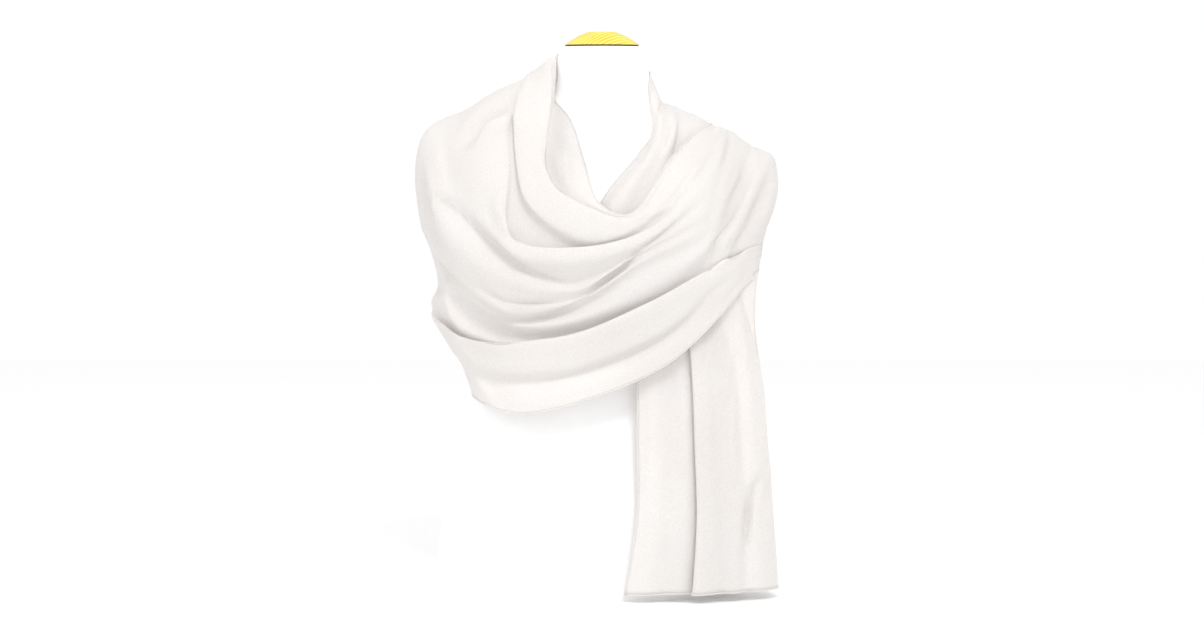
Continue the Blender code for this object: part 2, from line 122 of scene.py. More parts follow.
# The wrap across the chest. A row is a line that runs along the cloth from the far
# shoulder (first point) across the chest to the near one (last point). A point is
# (x, z) from the front; the lifts are how far the line stands off the envelope at
# its start, in the middle and at its end.
WRAP_LINES = (
    # name, start, upper, chest, lower, lowest, rising, high, end, lifts
    ("neck_edge", (-58, 634), (-57, 581), (-35, 539), (-20, 492), (-2, 439),
     (30, 428), (80, 496), (130, 546), (-28, 1, 2)),
    ("inner_ridge", (-59, 632), (-58, 578), (-55, 521), (-42, 479), (-5, 436),
     (31, 427), (81, 494), (132, 546), (-12, 7, 3)),
    ("inner_valley", (-60, 630), (-60, 573), (-67, 508), (-57, 457), (-11, 429),
     (32, 426), (82, 492), (134, 546), (2, 4, 4)),
    ("collar_lip", (-61, 628), (-57, 567), (-62, 501), (-51, 462), (-8, 433),
     (34, 424), (84, 490), (137, 546), (12, 15, 5)),
    ("collar_face", (-76, 615), (-79, 558), (-80, 497), (-66, 446), (-10, 416),
     (38, 420), (89, 484), (140, 545), (14, 15, 6)),
    ("collar_foot", (-87, 607), (-99, 556), (-97, 494), (-81, 440), (-16, 400),
     (42, 417), (94, 478), (143, 544), (13, 12, 7)),
    ("collar_pocket", (-92, 603), (-95, 551), (-92, 488), (-76, 433), (-21, 390),
     (46, 412), (98, 472), (146, 543), (7, 2, 6)),
    ("pocket_floor", (-101, 599), (-105, 546), (-101, 481), (-101, 399), (-28, 383),
     (48, 409), (101, 467), (149, 541), (7, 2, 6)),
    ("cowl_lip", (-109, 595), (-109, 548), (-104, 482), (-99, 404), (-29, 391),
     (50, 411), (104, 463), (153, 539), (11, 14, 8)),
    ("cowl_face", (-130, 584), (-140, 541), (-136, 461), (-108, 391), (-31, 377),
     (50, 400), (108, 454), (159, 535), (14, 18, 10)),
    ("cowl_crease", (-160, 568), (-176, 511), (-162, 440), (-100, 380), (-30, 354),
     (46, 393), (111, 444), (165, 530), (5, 5, 8)),
    ("chest_ridge", (-207, 544), (-199, 494), (-175, 418), (-113, 361), (-33, 345),
     (44, 388), (113, 434), (172, 526), (12, 11, 8)),
    ("chest_crease", (-220, 514), (-209, 436), (-177, 376), (-116, 339), (-38, 333),
     (42, 383), (115, 425), (179, 522), (9, 5, 7)),
    ("lower_ridge", (-221, 470), (-202, 408), (-169, 364), (-114, 328), (-38, 329),
     (42, 377), (117, 416), (186, 518), (8, 10, 7)),
    ("lower_crease", (-217, 424), (-193, 385), (-160, 351), (-111, 316), (-36, 322),
     (43, 367), (121, 407), (193, 515), (3, 3, 6)),
    ("belly_ridge", (-201, 386), (-185, 363), (-157, 335), (-103, 308), (-35, 312),
     (44, 345), (126, 401), (200, 511), (5, 12, 8)),
    ("belly_valley", (-197, 352), (-181, 346), (-155, 316), (-103, 294), (-36, 298),
     (52, 329), (135, 398), (207, 500), (3, 2, 6)),
    ("tucked_ridge", (-203, 335), (-184, 333), (-157, 300), (-105, 285), (-33, 290),
     (55, 320), (147, 396), (208, 458), (8, 5, 7)),
    ("tucked_valley", (-205, 328), (-183, 308), (-156, 288), (-106, 279), (-31, 283),
     (56, 316), (143, 377), (190, 402), (3, 2, 3)),
    ("band_lip", (-202, 320), (-185, 310), (-158, 294), (-107, 289), (-30, 297),
     (50, 331), (139, 381), (192, 409), (15, 19, 9)),
    ("band_face", (-192, 302), (-171, 289), (-144, 275), (-100, 271), (-27, 281),
     (55, 314), (141, 369), (190, 404), (17, 19, 8)),
    ("band_ridge", (-180, 283), (-158, 268), (-132, 257), (-94, 256), (-24, 267),
     (59, 299), (143, 360), (189, 401), (15, 16, 7)),
    ("band_valley", (-168, 267), (-150, 254), (-124, 243), (-87, 243), (-21, 254),
     (63, 289), (145, 352), (188, 398), (8, 9, 6)),
    ("hem_ridge", (-160, 246), (-140, 236), (-115, 226), (-83, 226), (-19, 239),
     (67, 276), (147, 345), (188, 396), (13, 13, 5)),
    ("hem", (-154, 225), (-131, 217), (-107, 210), (-80, 209), (-17, 225),
     (72, 264), (149, 338), (187, 394), (10, 10, 4)),
)

# The points of a line, by number, between which its first lift holds, at which its
# middle one does, and between which its last one does.
LIFT_POINTS = (0, 2, 4, 6, 7)

# How much further off the wrap stands at each point, over the front end's pleats.
OVER_FIRST_LAYER = (0, 0, 0, 2, 6, 12, 13, 0)

# How the same lines lie in the two hanging ends. Side is where a line is across the
# end, from 0 at the edge nearer the neck to 1 at the outer one, and lift is how far it
# stands off the form; the lines double back where the cloth is pleated.
AT_SHOULDER, IN_FRONT_END, IN_BACK_END = 1, (2, 3), (4, 5)
PLEATS = (
    # name, shoulder lift, front side, front lift, back side, back lift
    ("neck_edge", -12, 0.00, 3, 0.00, 4),
    ("inner_ridge", 8, 0.12, 7, 0.10, 8),
    ("inner_valley", 7, 0.24, 4, 0.22, 5),
    ("collar_lip", 2, 0.36, 7, 0.34, 9),
    ("collar_face", 8, 0.48, 4, 0.46, 6),
    ("collar_foot", 9, 0.61, 6, 0.57, 8),
    ("collar_pocket", 4, 0.73, 5, 0.64, 8),
    ("pocket_floor", 5, 0.79, 6, 0.66, 10),
    ("cowl_lip", 6, 0.77, 9, 0.60, 12),
    ("cowl_face", 7, 0.64, 11, 0.48, 14),
    ("cowl_crease", 4, 0.42, 13, 0.37, 17),
    ("chest_ridge", 6, 0.45, 17, 0.35, 21),
    ("chest_crease", 4, 0.53, 16, 0.44, 20),
    ("lower_ridge", 6, 0.61, 13, 0.53, 16),
    ("lower_crease", 4, 0.70, 17, 0.62, 21),
    ("belly_ridge", 6, 0.78, 14, 0.71, 17),
    ("belly_valley", 4, 0.87, 18, 0.80, 21),
    ("tucked_ridge", 6, 0.95, 16, 0.90, 18),
    ("tucked_valley", 4, 1.00, 12, 0.98, 15),
    ("band_lip", 6, 0.995, 8, 1.00, 11),
    ("band_face", 4, 0.93, 5.5, 0.93, 7),
    ("band_ridge", 6, 0.87, 4.5, 0.84, 6),
    ("band_valley", 4, 0.88, 2, 0.83, 3),
    ("hem_ridge", 5, 0.94, 2, 0.90, 2),
    ("hem", 4, 0.985, 2.5, 0.96, 2.5),
)

# The first layer over the near shoulder, in the plane of the shoulders: (x, z).
NEAR_SHOULDER = (
    (57, 610), (64, 589), (73, 576), (85, 569), (101, 563), (118, 554), (134, 543),
    (150, 531), (165, 520), (178, 509), (188, 495), (194, 478), (195, 458), (193, 438),
    (190, 418),
)

# The front end's levels: height and x at its neck edge, height and x at its outer edge.
FRONT_END_LEVELS = (
    (530, 56, 398, 183),
    (426, -6, 350, 175),
    (360, 25, 305, 174),
    (255, 38, 245, 182),
    (185, 39, 180, 187),
    (100, 39, 95, 193),
    (9, 25, 11, 199),
)
# How far the pleats are formed at each level, and how much of their lift they have there.
FRONT_PLEATING = (0.0, 0.35, 0.8, 1.0, 1.0, 1.0, 1.0)
FRONT_DEPTH = (0.6, 0.6, 0.55, 0.8, 1.0, 1.0, 1.0)

# The back end's levels, the same way.
BACK_END_LEVELS = (
    (500, 118, 372, 178),
    (430, 96, 330, 176),
    (330, 80, 290, 174),
    (240, 72, 225, 174),
    (165, 70, 155, 178),
    (92, 66, 88, 182),
)
BACK_PLEATING = (0.1, 0.5, 0.9, 1.0, 1.0, 1.0)
# How much further off it stands at each level, over the cloth behind the shoulders.
BACK_OVER_FIRST_LAYER = (10, 12, 8, 0, 0, 0)

# Behind the neck and across the shoulder blades: where along the way each column is,
# and how far it sags below a straight line there at the neck edge and the outer edge.
BACK_COLUMNS = (
    (0.14, 0, 22),
    (0.32, -4, 62),
    (0.52, -6, 78),
    (0.72, -5, 60),
    (0.88, -2, 26),
)
# How far each fold line stands off the form there.
BACK_LIFTS = (
    -8, 6, 5, 12, 15, 10, 3, 4, 11, 15, 4, 15, 5, 14, 3, 15, 3, 12, 4, 16, 17, 12, 4, 12, 8
)

# Creases placed one by one: what it is, the first and last station of its stretch, how wide
# it is, how deep, how high the ridge on its left rises, and the points (x, z) that it
# runs through, seen from the front. Left is as seen going along them, and a depth below
# nought makes a ridge.
CREASES = (
    # On the shoulder and upper arm side of the wrap.
    ("far_shoulder", 13, 17, 8, 16, 8,
     ((-109, 563), (-118, 553), (-130, 546), (-142, 536), (-155, 510))),
    ("far_shoulder_ridge", 13, 17, 5, -3, -2, ((-194, 524), (-181, 473), (-166, 448))),
    ("far_shoulder_soft", 13, 17, 5, 6, 3, ((-208, 470), (-192, 410), (-166, 378))),
    ("side_long", 13, 18, 4, 3.5, 2, ((-211, 413), (-194, 388), (-167, 358), (-146, 346))),
    ("side_short", 13, 18, 3, 2, 1, ((-190, 394), (-176, 380), (-163, 369))),
    ("side_flap", 13, 18, 3, 2.5, -1, ((-188, 366), (-193, 336), (-194, 324))),
    ("side_edge", 13, 18, 4, -3.5, 0, ((-186, 364), (-177, 334), (-167, 312), (-152, 297))),
    ("side_high", 13, 17, 4, 4, 2, ((-214, 500), (-204, 458), (-190, 424), (-176, 404))),
    # Across the chest.
    ("inner_pocket", 13, 18, 6, 4, 0, ((-64, 506), (-56, 484), (-50, 470), (-40, 452))),
    ("inner_line", 13, 18, 3, -4, -2, ((-57, 545), (-46, 522), (-39, 490), (-37, 460))),
    ("below_cowl", 13, 19, 4, 4, 2,
     ((-206, 473), (-186, 452), (-162, 436), (-134, 409), (-103, 382), (-90, 372), (-68, 362),
      (-29, 351))),
    ("cowl_shoulder", 13, 17, 5, 3, 2, ((-136, 470), (-124, 430), (-112, 408), (-96, 398))),
    ("chest_upper", 14, 18, 3, 3, 1.5,
     ((-139, 353), (-128, 345), (-112, 335), (-95, 331), (-46, 331))),
    ("chest_lower", 14, 18, 2.5, 2, 1, ((-125, 337), (-106, 328), (-88, 324), (-40, 326))),
    ("chest_notch", 14, 19, 2.5, 3.5, 2, ((-8, 347), (9, 360), (22, 369), (38, 385))),
    ("chest_slit", 14, 19, 4, 3, 1.5,
     ((-133, 331), (-111, 316), (-95, 312), (-62, 317), (-46, 322), (-24, 333), (-5, 349),
      (9, 360), (20, 368), (36, 383))),
    ("chest_pocket", 13.2, 18, 12, 9, 0,
     ((-180, 362), (-164, 338), (-142, 316), (-118, 302), (-90, 295))),
    ("band_line", 14, 19.6, 4.5, 3.5, 1.5,
     ((-115, 243), (-79, 244), (-46, 249), (-2, 262), (33, 276), (69, 294), (97, 316),
      (121, 343), (146, 358))),
    # Where the wrap goes up over the near shoulder.
    ("near_upper", 18, 20, 4, 4, 2, ((137, 482), (145, 508), (150, 534))),
    ("near_faint", 18, 20, 4, 2, 1, ((140, 500), (128, 460), (120, 424), (112, 392))),
    ("near_broad", 18, 20, 6, 10, 5,
     ((170, 505), (162, 472), (150, 446), (143, 428), (132, 406), (124, 385), (117, 370))),
    ("near_outer", 18, 20, 6, 9, 4,
     ((199, 490), (184, 452), (170, 427), (156, 402), (142, 379))),
    ("wrap_light", 18, 20, 4, -2, 0, ((42, 426), (64, 432), (90, 450), (106, 482))),
    # The first layer beside the neck.
    ("neck_valley", 4, 7.6, 5, 6, 3, ((66, 480), (76, 494), (86, 512), (91, 531), (94, 562))),
    ("neck_pocket", 5, 7.6, 6, 6, 0, ((88, 505), (104, 520), (118, 540))),
    ("neck_wedge", 5, 7.6, 5, 4, 2, ((64, 545), (70, 560), (76, 580))),
    ("neck_fine", 5, 7.6, 3, 2, 1, ((42, 486), (52, 515), (58, 545))),
    # The front end.
    ("end_crook", 0, 5, 4, 6.5, 3, ((183, 142), (172, 131), (166, 118), (163, 98), (160, 54))),
    ("end_upper", 0, 5, 4, 2.5, 1, ((142, 248), (141, 190))),
    ("end_outer", 0, 5, 4, 2.5, 1, ((157, 292), (150, 256))),
    ("end_lower", 0, 5, 4, 2, 1, ((148, 138), (146, 90))),
    ("end_ridge", 0, 5, 4, -2, 0, ((56, 204), (47, 112))),
    ("end_shade", 0, 5, 9, 4, 0, ((79, 274), (80, 190), (83, 100))),
    # Across the shoulder blades.
    ("blade_high", 7, 13, 6, 5, 3, ((150, 505), (110, 480), (30, 462), (-60, 470), (-130, 505))),
    ("blade_middle", 7, 13, 6, 5, 3,
     ((172, 470), (110, 418), (20, 388), (-80, 396), (-160, 436))),
    ("blade_low", 7, 13, 5, 4, 2.5, ((160, 400), (90, 352), (0, 334), (-90, 342), (-150, 368))),
    ("blade_left", 7, 13, 6, 4, 2, ((-90, 560), (-130, 520), (-150, 470), (-140, 420))),
    ("blade_hem", 7, 13, 4, 3, 1.5, ((60, 310), (-20, 296), (-110, 306), (-160, 330))),
    ("nape", 7, 13, 3, 2.5, 1.5, ((60, 590), (10, 572), (-40, 580), (-66, 600))),
    # The back end.
    ("back_inner", 20, 26, 4, 3.5, 2, ((142, 470), (112, 390), (100, 280), (104, 150))),
    ("back_outer", 20, 26, 4, 3, 1.5, ((178, 430), (158, 340), (152, 220), (160, 120))),
    ("back_short", 20, 26, 4, 2.5, 1, ((128, 260), (124, 150))),
)

# Looks.
CHIFFON_LIGHT, CHIFFON_WARM = (0.935, 0.915, 0.90), (0.915, 0.888, 0.868)
CHIFFON_OPACITY, HEM_OPACITY = 0.9, 0.97
# How much less opaque the crepe is in its hollows, and how much more on its threads, and
# the share of the light that comes through the cloth.
HOLLOWS_LESS, THREADS_MORE = 0.08, 0.06
GLOW_SHARE = 0.37
FORM_WHITE, FORM_SHADE = (0.94, 0.94, 0.94), (0.92, 0.92, 0.92)
WOOD_LIGHT, WOOD_MID, WOOD_DARK = (0.93, 0.76, 0.20), (0.88, 0.62, 0.03), (0.80, 0.50, 0.015)
# The colour of the painted shadow round the cap's foot, where it sits on the neck.
CAP_SHADOW_LINE_COLOUR = (0.05, 0.012, 0.02)

# The camera, the floor's sides (x, y) and the lights, in metres, millimetres of lens and
# sensor, and watts.
CAMERA_PLACE, CAMERA_LENS, CAMERA_SENSOR = (0, -1.64, 0.318), 40.9, 36
FLOOR_X, FLOOR_Y = (-6, 6), (-4, 8)
LIGHT_TARGET = (0, 0, 0.35)
KEY_PLACE, KEY_SIZE, KEY_POWER = (0.5, -1.7, 2.3), 0.7, 23.0
FILL_PLACE, FILL_SIZE, FILL_POWER = (-2.0, -1.4, 1.8), 1.4, 5.0
WORLD_STRENGTH = 1.01

ROWS = len(WRAP_LINES)
WRAP_STATIONS = len(OVER_FIRST_LAYER)

# What a step or a normal's length is taken to be where it would be nothing, and how near
# its rim, as a share of its width, the envelope is read.
NO_STEP, NO_LENGTH = 1e-3, 1e-6
RIM = 0.999


def spline(points, count):
    """Points on a smooth curve through these, count to each interval."""
    points = np.asarray(points, float)
    steps = np.sqrt(np.linalg.norm(np.diff(points, axis=0), axis=-1, keepdims=True))
    steps = np.maximum(steps, NO_STEP)
    slopes = np.diff(points, axis=0) / steps
    inner = (slopes[:-1] * steps[1:] + slopes[1:] * steps[:-1]) / (steps[:-1] + steps[1:])
    slopes = np.concatenate([slopes[:1], inner, slopes[-1:]])
    found = []
    for i in range(len(points) - 1):
        for k in range(count):
            t = k / count
            found.append(
                points[i] * (1 - t) ** 2 * (1 + 2 * t)
                + points[i + 1] * t**2 * (3 - 2 * t)
                + slopes[i] * steps[i] * t * (1 - t) ** 2
                - slopes[i + 1] * steps[i] * t**2 * (1 - t)
            )
    found.append(points[-1])
    return np.array(found)


def envelope(column, z):
    """A column of the envelope's table at height z."""
    rows = np.array(ENVELOPE, float)
    return np.interp(z, rows[:, 0], rows[:, column])


def reach_from(x, z, column):
    """How far the envelope reaches from the plane of the shoulders at x and z."""
    width = envelope(LEFT if x < 0 else RIGHT, z)
    share = min(abs(x) / width, RIM)
    return envelope(column, z) * (1 - share**SQUARENESS) ** (1 / SQUARENESS)


def front_reach(x, z):
    return reach_from(x, z, FRONT)


def back_reach(x, z):
    return reach_from(x, z, BACK)


def edge_normals(points):
    """Outward normals of an open line in the plane of the shoulders."""
    along = np.gradient(points, axis=0)
    normals = np.stack([-along[:, 1], along[:, 0]], axis=1)
    normals /= np.linalg.norm(normals, axis=1, keepdims=True)
    outward = points - np.array(CHEST_CENTRE)
    return normals * np.sign((normals * outward).sum(axis=1, keepdims=True))


def seam(points, lifts, full):
    """A fold line for each row over a shoulder, let in by how far its lift is short of full."""
    points = np.asarray(points, float)
    dips = SEAM_DIP * np.minimum(np.asarray(lifts, float) - full, 0.0)
    moved = points + dips[:, None] * edge_normals(points)
    return np.stack([moved[:, 0], np.zeros(len(moved)), moved[:, 1]], axis=1)


def wrap_cage():
    """Fold line x station x 3, from the far shoulder to the near one."""
    cage = np.zeros((ROWS, WRAP_STATIONS, 3))
    starts, ends = [], []
    for row, (_, *points, (start, middle, end)) in enumerate(WRAP_LINES):
        lifts = np.interp(range(WRAP_STATIONS), LIFT_POINTS, (start, start, middle, end, end))
        for column, (x, z) in enumerate(points[1:-1], 1):
            stand = lifts[column] + OVER_FIRST_LAYER[column]
            cage[row, column] = x, -front_reach(x, z) - stand, z
        starts.append((points[0], start))
        ends.append((points[-1], end))
    cage[:, 0] = seam(*zip(*starts), FAR_SHOULDER_LIFT)
    cage[:, -1] = seam(*zip(*ends), NEAR_SHOULDER_LIFT)
    return cage


def near_shoulder_line():
    """The first layer's fold lines where they cross the near shoulder."""
    path = spline(NEAR_SHOULDER, SHOULDER_STEPS)
    run = np.concatenate([[0], np.cumsum(np.linalg.norm(np.diff(path, axis=0), axis=1))])
    wanted = np.linspace(0, run[-1], ROWS)
    points = np.stack([np.interp(wanted, run, path[:, k]) for k in range(2)], axis=1)
    return seam(points, [pleat[AT_SHOULDER] for pleat in PLEATS], NEAR_SHOULDER_LIFT)


def hanging_cage(levels, pleating, depths, raised, columns, reach, sign, top):
    """A hanging end, from its seam line down to its hem."""
    side, lift = columns
    cage = np.zeros((ROWS, len(levels) + 1, 3))
    cage[:, 0] = top
    for column, (level, share, depth, over) in enumerate(zip(levels, pleating, depths, raised)):
        z_neck, x_neck, z_outer, x_outer = level
        for row, pleat in enumerate(PLEATS):
            even = row / (ROWS - 1)
            place = even + share * (pleat[side] - even)
            lifted = pleat[AT_SHOULDER] + share * (pleat[lift] - pleat[AT_SHOULDER])
            stand = over + depth * lifted
            x = x_neck + place * (x_outer - x_neck)
            z = z_neck + place * (z_outer - z_neck)
            cage[row, column + 1] = x, sign * (reach(x, z) + stand), z
    return cage


def back_cage(start, end):
    """Behind the neck, from the near shoulder's seam line to the far one's."""
    cage = np.zeros((ROWS, len(BACK_COLUMNS) + 2, 3))
    cage[:, 0] = start
    cage[:, -1] = end
    for column, (way, sag_neck, sag_outer) in enumerate(BACK_COLUMNS):
        for row in range(ROWS):
            even = row / (ROWS - 1)
            x = start[row, 0] * (1 - way) + end[row, 0] * way
            z = start[row, 2] * (1 - way) + end[row, 2] * way
            z -= sag_neck + even * (sag_outer - sag_neck)
            x *= 1 - BACK_DRAWN_IN * np.sin(np.pi * way)
            cage[row, column + 1] = x, back_reach(x, z) + BACK_LIFTS[row], z
    return cage


def quads(rows, columns):
    """The faces of a net of rows x columns points."""
    faces = []
    for i in range(rows - 1):
        for j in range(columns - 1):
            a = i * columns + j
            faces.append((a, a + 1, a + columns + 1, a + columns))
    return faces


def tree_of(grid):
    """A net's faces, ready for rays."""
    rows, columns = grid.shape[:2]
    vertices = [Vector(p) for p in grid.reshape(-1, 3)]
    return BVHTree.FromPolygons(vertices, quads(rows, columns))


def blurred(values):
    """Each value averaged with its four neighbours."""
    padded = np.pad(values, 1, mode="edge")
    return (
        2 * padded[1:-1, 1:-1]
        + padded[:-2, 1:-1]
        + padded[2:, 1:-1]
        + padded[1:-1, :-2]
        + padded[1:-1, 2:]
    ) / 6


def way_out(point, form):
    """The way straight off the form, which is its normal inside it and where they touch."""
    near, normal, _, distance = form.find_nearest(point)
    outside = (point - near).dot(normal) > 0
    return (point - near).normalized() if outside and distance > TOUCHING else normal


def scarf_net():
    """Fold lines x stations for the whole scarf, from its front hem to its back hem."""
    wrap = wrap_cage()
    near = near_shoulder_line()
    front_end = hanging_cage(
        FRONT_END_LEVELS, FRONT_PLEATING, FRONT_DEPTH, [0] * len(FRONT_END_LEVELS),
        IN_FRONT_END, front_reach, -1, near,
    )
    back_end = hanging_cage(
        BACK_END_LEVELS, BACK_PLEATING, [1.0] * len(BACK_END_LEVELS), BACK_OVER_FIRST_LAYER,
        IN_BACK_END, back_reach, 1, wrap[:, -1],
    )
    behind = back_cage(near, wrap[:, 0])
    return np.concatenate([front_end[:, ::-1], behind[:, 1:], wrap[:, 1:], back_end[:, 1:]], axis=1)


def drawn_fine(net):
    """The net's smooth surface: lines x points along x 3."""
    along = spline(np.moveaxis(net, 1, 0), ALONG)
    return spline(np.moveaxis(along, 0, 1), ACROSS)


def normals_of(grid):
    """The sheet's normal at each point, which points in to the form."""
    along = np.gradient(grid, axis=1)
    over = np.gradient(grid, axis=0)
    found = np.cross(along, over)
    return found / np.maximum(np.linalg.norm(found, axis=2, keepdims=True), NO_LENGTH)


def sheet_sizes(grid):
    """For each point, how far along the scarf and how far across it that point was cut."""
    steps = np.linalg.norm(np.diff(grid, axis=1), axis=2).mean(axis=0)
    along = np.concatenate([[0], np.cumsum(steps)])
    over = np.linspace(0, SCARF_WIDTH, len(grid))
    return np.meshgrid(along, over)


def crease_lift(spots, width, depth, ridge, points):
    """How far a crease lifts each of these spots (x, z)."""
    path = spline(points, CREASE_STEPS)
    steps = np.diff(path, axis=0)
    lengths = np.linalg.norm(steps, axis=1)
    run = np.concatenate([[0], np.cumsum(lengths)])
    apart = spots[:, None, :] - path[None, :-1]
    share = np.clip((apart * steps).sum(axis=2) / lengths**2, 0, 1)
    off = apart - share[..., None] * steps
    nearest = np.linalg.norm(off, axis=2).argmin(axis=1)
    rows = np.arange(len(spots))
    gone = (run[nearest] + share[rows, nearest] * lengths[nearest]) / run[-1]
    step, off = steps[nearest], off[rows, nearest]
    side = np.sign(step[:, 0] * off[:, 1] - step[:, 1] * off[:, 0])
    aside = side * np.linalg.norm(off, axis=1) / width
    fade = np.sin(np.pi * np.clip(gone, FADE_START, 1 - FADE_START)) ** FADE_POWER
    trough = -depth * np.exp(-(aside**2))
    return fade * (trough + ridge * np.exp(-(((aside - RIDGE_OFFSET) / RIDGE_WIDTH) ** 2)))


def creased(grid):
    """The grid with its listed creases and its unevenness."""
    rows, columns = grid.shape[:2]
    lift = np.zeros((rows, columns))
    for _, first, last, width, depth, ridge, points in CREASES:
        stretch = slice(round(first * ALONG), round(last * ALONG) + 1)
        spots = grid[:, stretch][..., (0, 2)].reshape(-1, 2)
        found = crease_lift(spots, width, depth, ridge, points)
        lift[:, stretch] += found.reshape(rows, -1)
    along, over = sheet_sizes(grid)
    for index in np.ndindex(rows, columns):
        a, b = along[index] * MM, over[index] * MM
        lift[index] += sum(
            height * noise.noise(Vector((a * waves_along, b * waves_over, place)))
            for waves_along, waves_over, place, height in UNEVENNESS
        )
    return grid - normals_of(grid) * lift[..., None]


def relaxed(grid):
    """The grid smoothed where its lines crowd together."""
    grid = grid.copy()
    between = np.linalg.norm(np.diff(grid, axis=0), axis=2)
    space = np.minimum(np.pad(between, ((0, 1), (0, 0)), mode="edge"),
                       np.pad(between, ((1, 0), (0, 0)), mode="edge"))
    crowding = np.clip(CROWD_EDGE - space / CROWDED, 0, 1)
    for _ in range(CROWD_PASSES):
        crowding = np.maximum(crowding, blurred(crowding))
    weight = RELAX_WEIGHT * crowding[..., None]
    for _ in range(RELAX_PASSES):
        around = np.stack([blurred(grid[..., k]) for k in range(3)], axis=2)
        moved = grid + weight * (around - grid)
        grid[1:-1, 1:-1] = moved[1:-1, 1:-1]
    return grid


def laid_over(grid, columns, under, gap, form):
    """Moves these columns of the grid out until they are gap clear of what is under."""
    part = grid[:, columns]
    push = np.zeros(part.shape[:2])
    ways = np.zeros_like(part)
    for index in np.ndindex(*part.shape[:2]):
        point = Vector(part[index])
        way = way_out(point, form)
        ways[index] = way
        hit, _, _, reach = under.ray_cast(point + way * REACH, -way, 2 * REACH)
        if hit is not None:
            push[index] = max(0.0, REACH - reach + gap)
    smooth = push
    for _ in range(SPREAD_PASSES):
        smooth = np.maximum(push, blurred(smooth))
    grid[:, columns] = part + ways * smooth[..., None]


def hugged(grid, form):
    """Draws the grid's neck edge in to the form, round the neck and down the chest."""
    first, last = (station * ALONG for station in HUG_STATIONS)
    for column in range(round(first), round(last)):
        share = min(1.0, (column - first) / ALONG, (last - column) / ALONG)
        for row in range(HUG_LINES):
            point = Vector(grid[row, column])
            near, normal, _, distance = form.find_nearest(point)
            if distance < HUG_REACH:
                pull = share * (1 - row / HUG_LINES) * (1 - (distance / HUG_REACH) ** 2)
                grid[row, column] = point.lerp(near + FORM_GAP * normal, pull)


def mesh_object(name, points, faces, uvs=None):
    """A smooth-shaded object from points, and their places on the cut, in millimetres."""
    mesh = bpy.data.meshes.new(name)
    mesh.from_pydata([tuple(np.asarray(p) * MM) for p in points], [], faces)
    if uvs is not None:
        layer = mesh.uv_layers.new(name="cloth")
        index = np.empty(len(mesh.loops), np.int32)
        mesh.loops.foreach_get("vertex_index", index)
        layer.data.foreach_set("uv", (uvs[index] * MM).astype(np.float32).ravel())
    mesh.shade_smooth()
    made = bpy.data.objects.new(name, mesh)
    bpy.context.scene.collection.objects.link(made)
    return made


def make_scarf(form):
    """The whole scarf on this form: its object, its net and the mean length of its lines."""
    form_points = [v.co / MM for v in form.data.vertices]
    form_tree = BVHTree.FromPolygons(form_points, [list(p.vertices) for p in form.data.polygons])
    grid = creased(relaxed(drawn_fine(scarf_net())))
    far_shoulder = ALONG * (len(FRONT_END_LEVELS) + len(BACK_COLUMNS) + 1)
    wrap = slice(far_shoulder + WRAP_START * ALONG, None)
    laid_over(grid, slice(0, None), form_tree, FORM_GAP, form_tree)
    hugged(grid, form_tree)
    for _ in range(WRAP_PASSES):
        first_layer = tree_of(grid[:, : far_shoulder + 1])
        laid_over(grid, wrap, first_layer, LAYER_GAP, form_tree)
    along, over = sheet_sizes(grid)
    uvs = np.stack([along.ravel(), over.ravel()], axis=1)
    scarf = mesh_object("scarf", grid.reshape(-1, 3), quads(*grid.shape[:2]), uvs)
    wall = scarf.modifiers.new("wall", "SOLIDIFY")
    wall.thickness = CLOTH_THICKNESS * MM
    wall.offset = 0
    return scarf, grid, along[0, -1]


def make_hem(grid):
    """The rolled hem: a thin tube along the sheet's four edges."""
    path = np.concatenate([grid[0, :-1], grid[:-1, -1], grid[-1, :0:-1], grid[:0:-1, 0]])
    ahead = np.roll(path, -1, axis=0) - np.roll(path, 1, axis=0)
    ahead /= np.linalg.norm(ahead, axis=1, keepdims=True)
    side = np.cross(ahead, np.roll(ahead, HEM_LOOKS_BACK, axis=0) + np.array(HEM_LOOKS_TO))
    side /= np.linalg.norm(side, axis=1, keepdims=True)
    over = np.cross(ahead, side)
    turns = np.linspace(0, 2 * np.pi, HEM_SIDES, endpoint=False)
    rings = [path + HEM_RADIUS * (np.cos(t) * side + np.sin(t) * over) for t in turns]
    points = np.stack(rings, axis=1).reshape(-1, 3)
    faces = []
    count = len(path)
    for i in range(count):
        j = (i + 1) % count
        for k in range(HEM_SIDES):
            m = (k + 1) % HEM_SIDES
            here, there = i * HEM_SIDES, j * HEM_SIDES
            faces.append((here + k, here + m, there + m, there + k))
    return mesh_object("rolled_hem", points, faces)


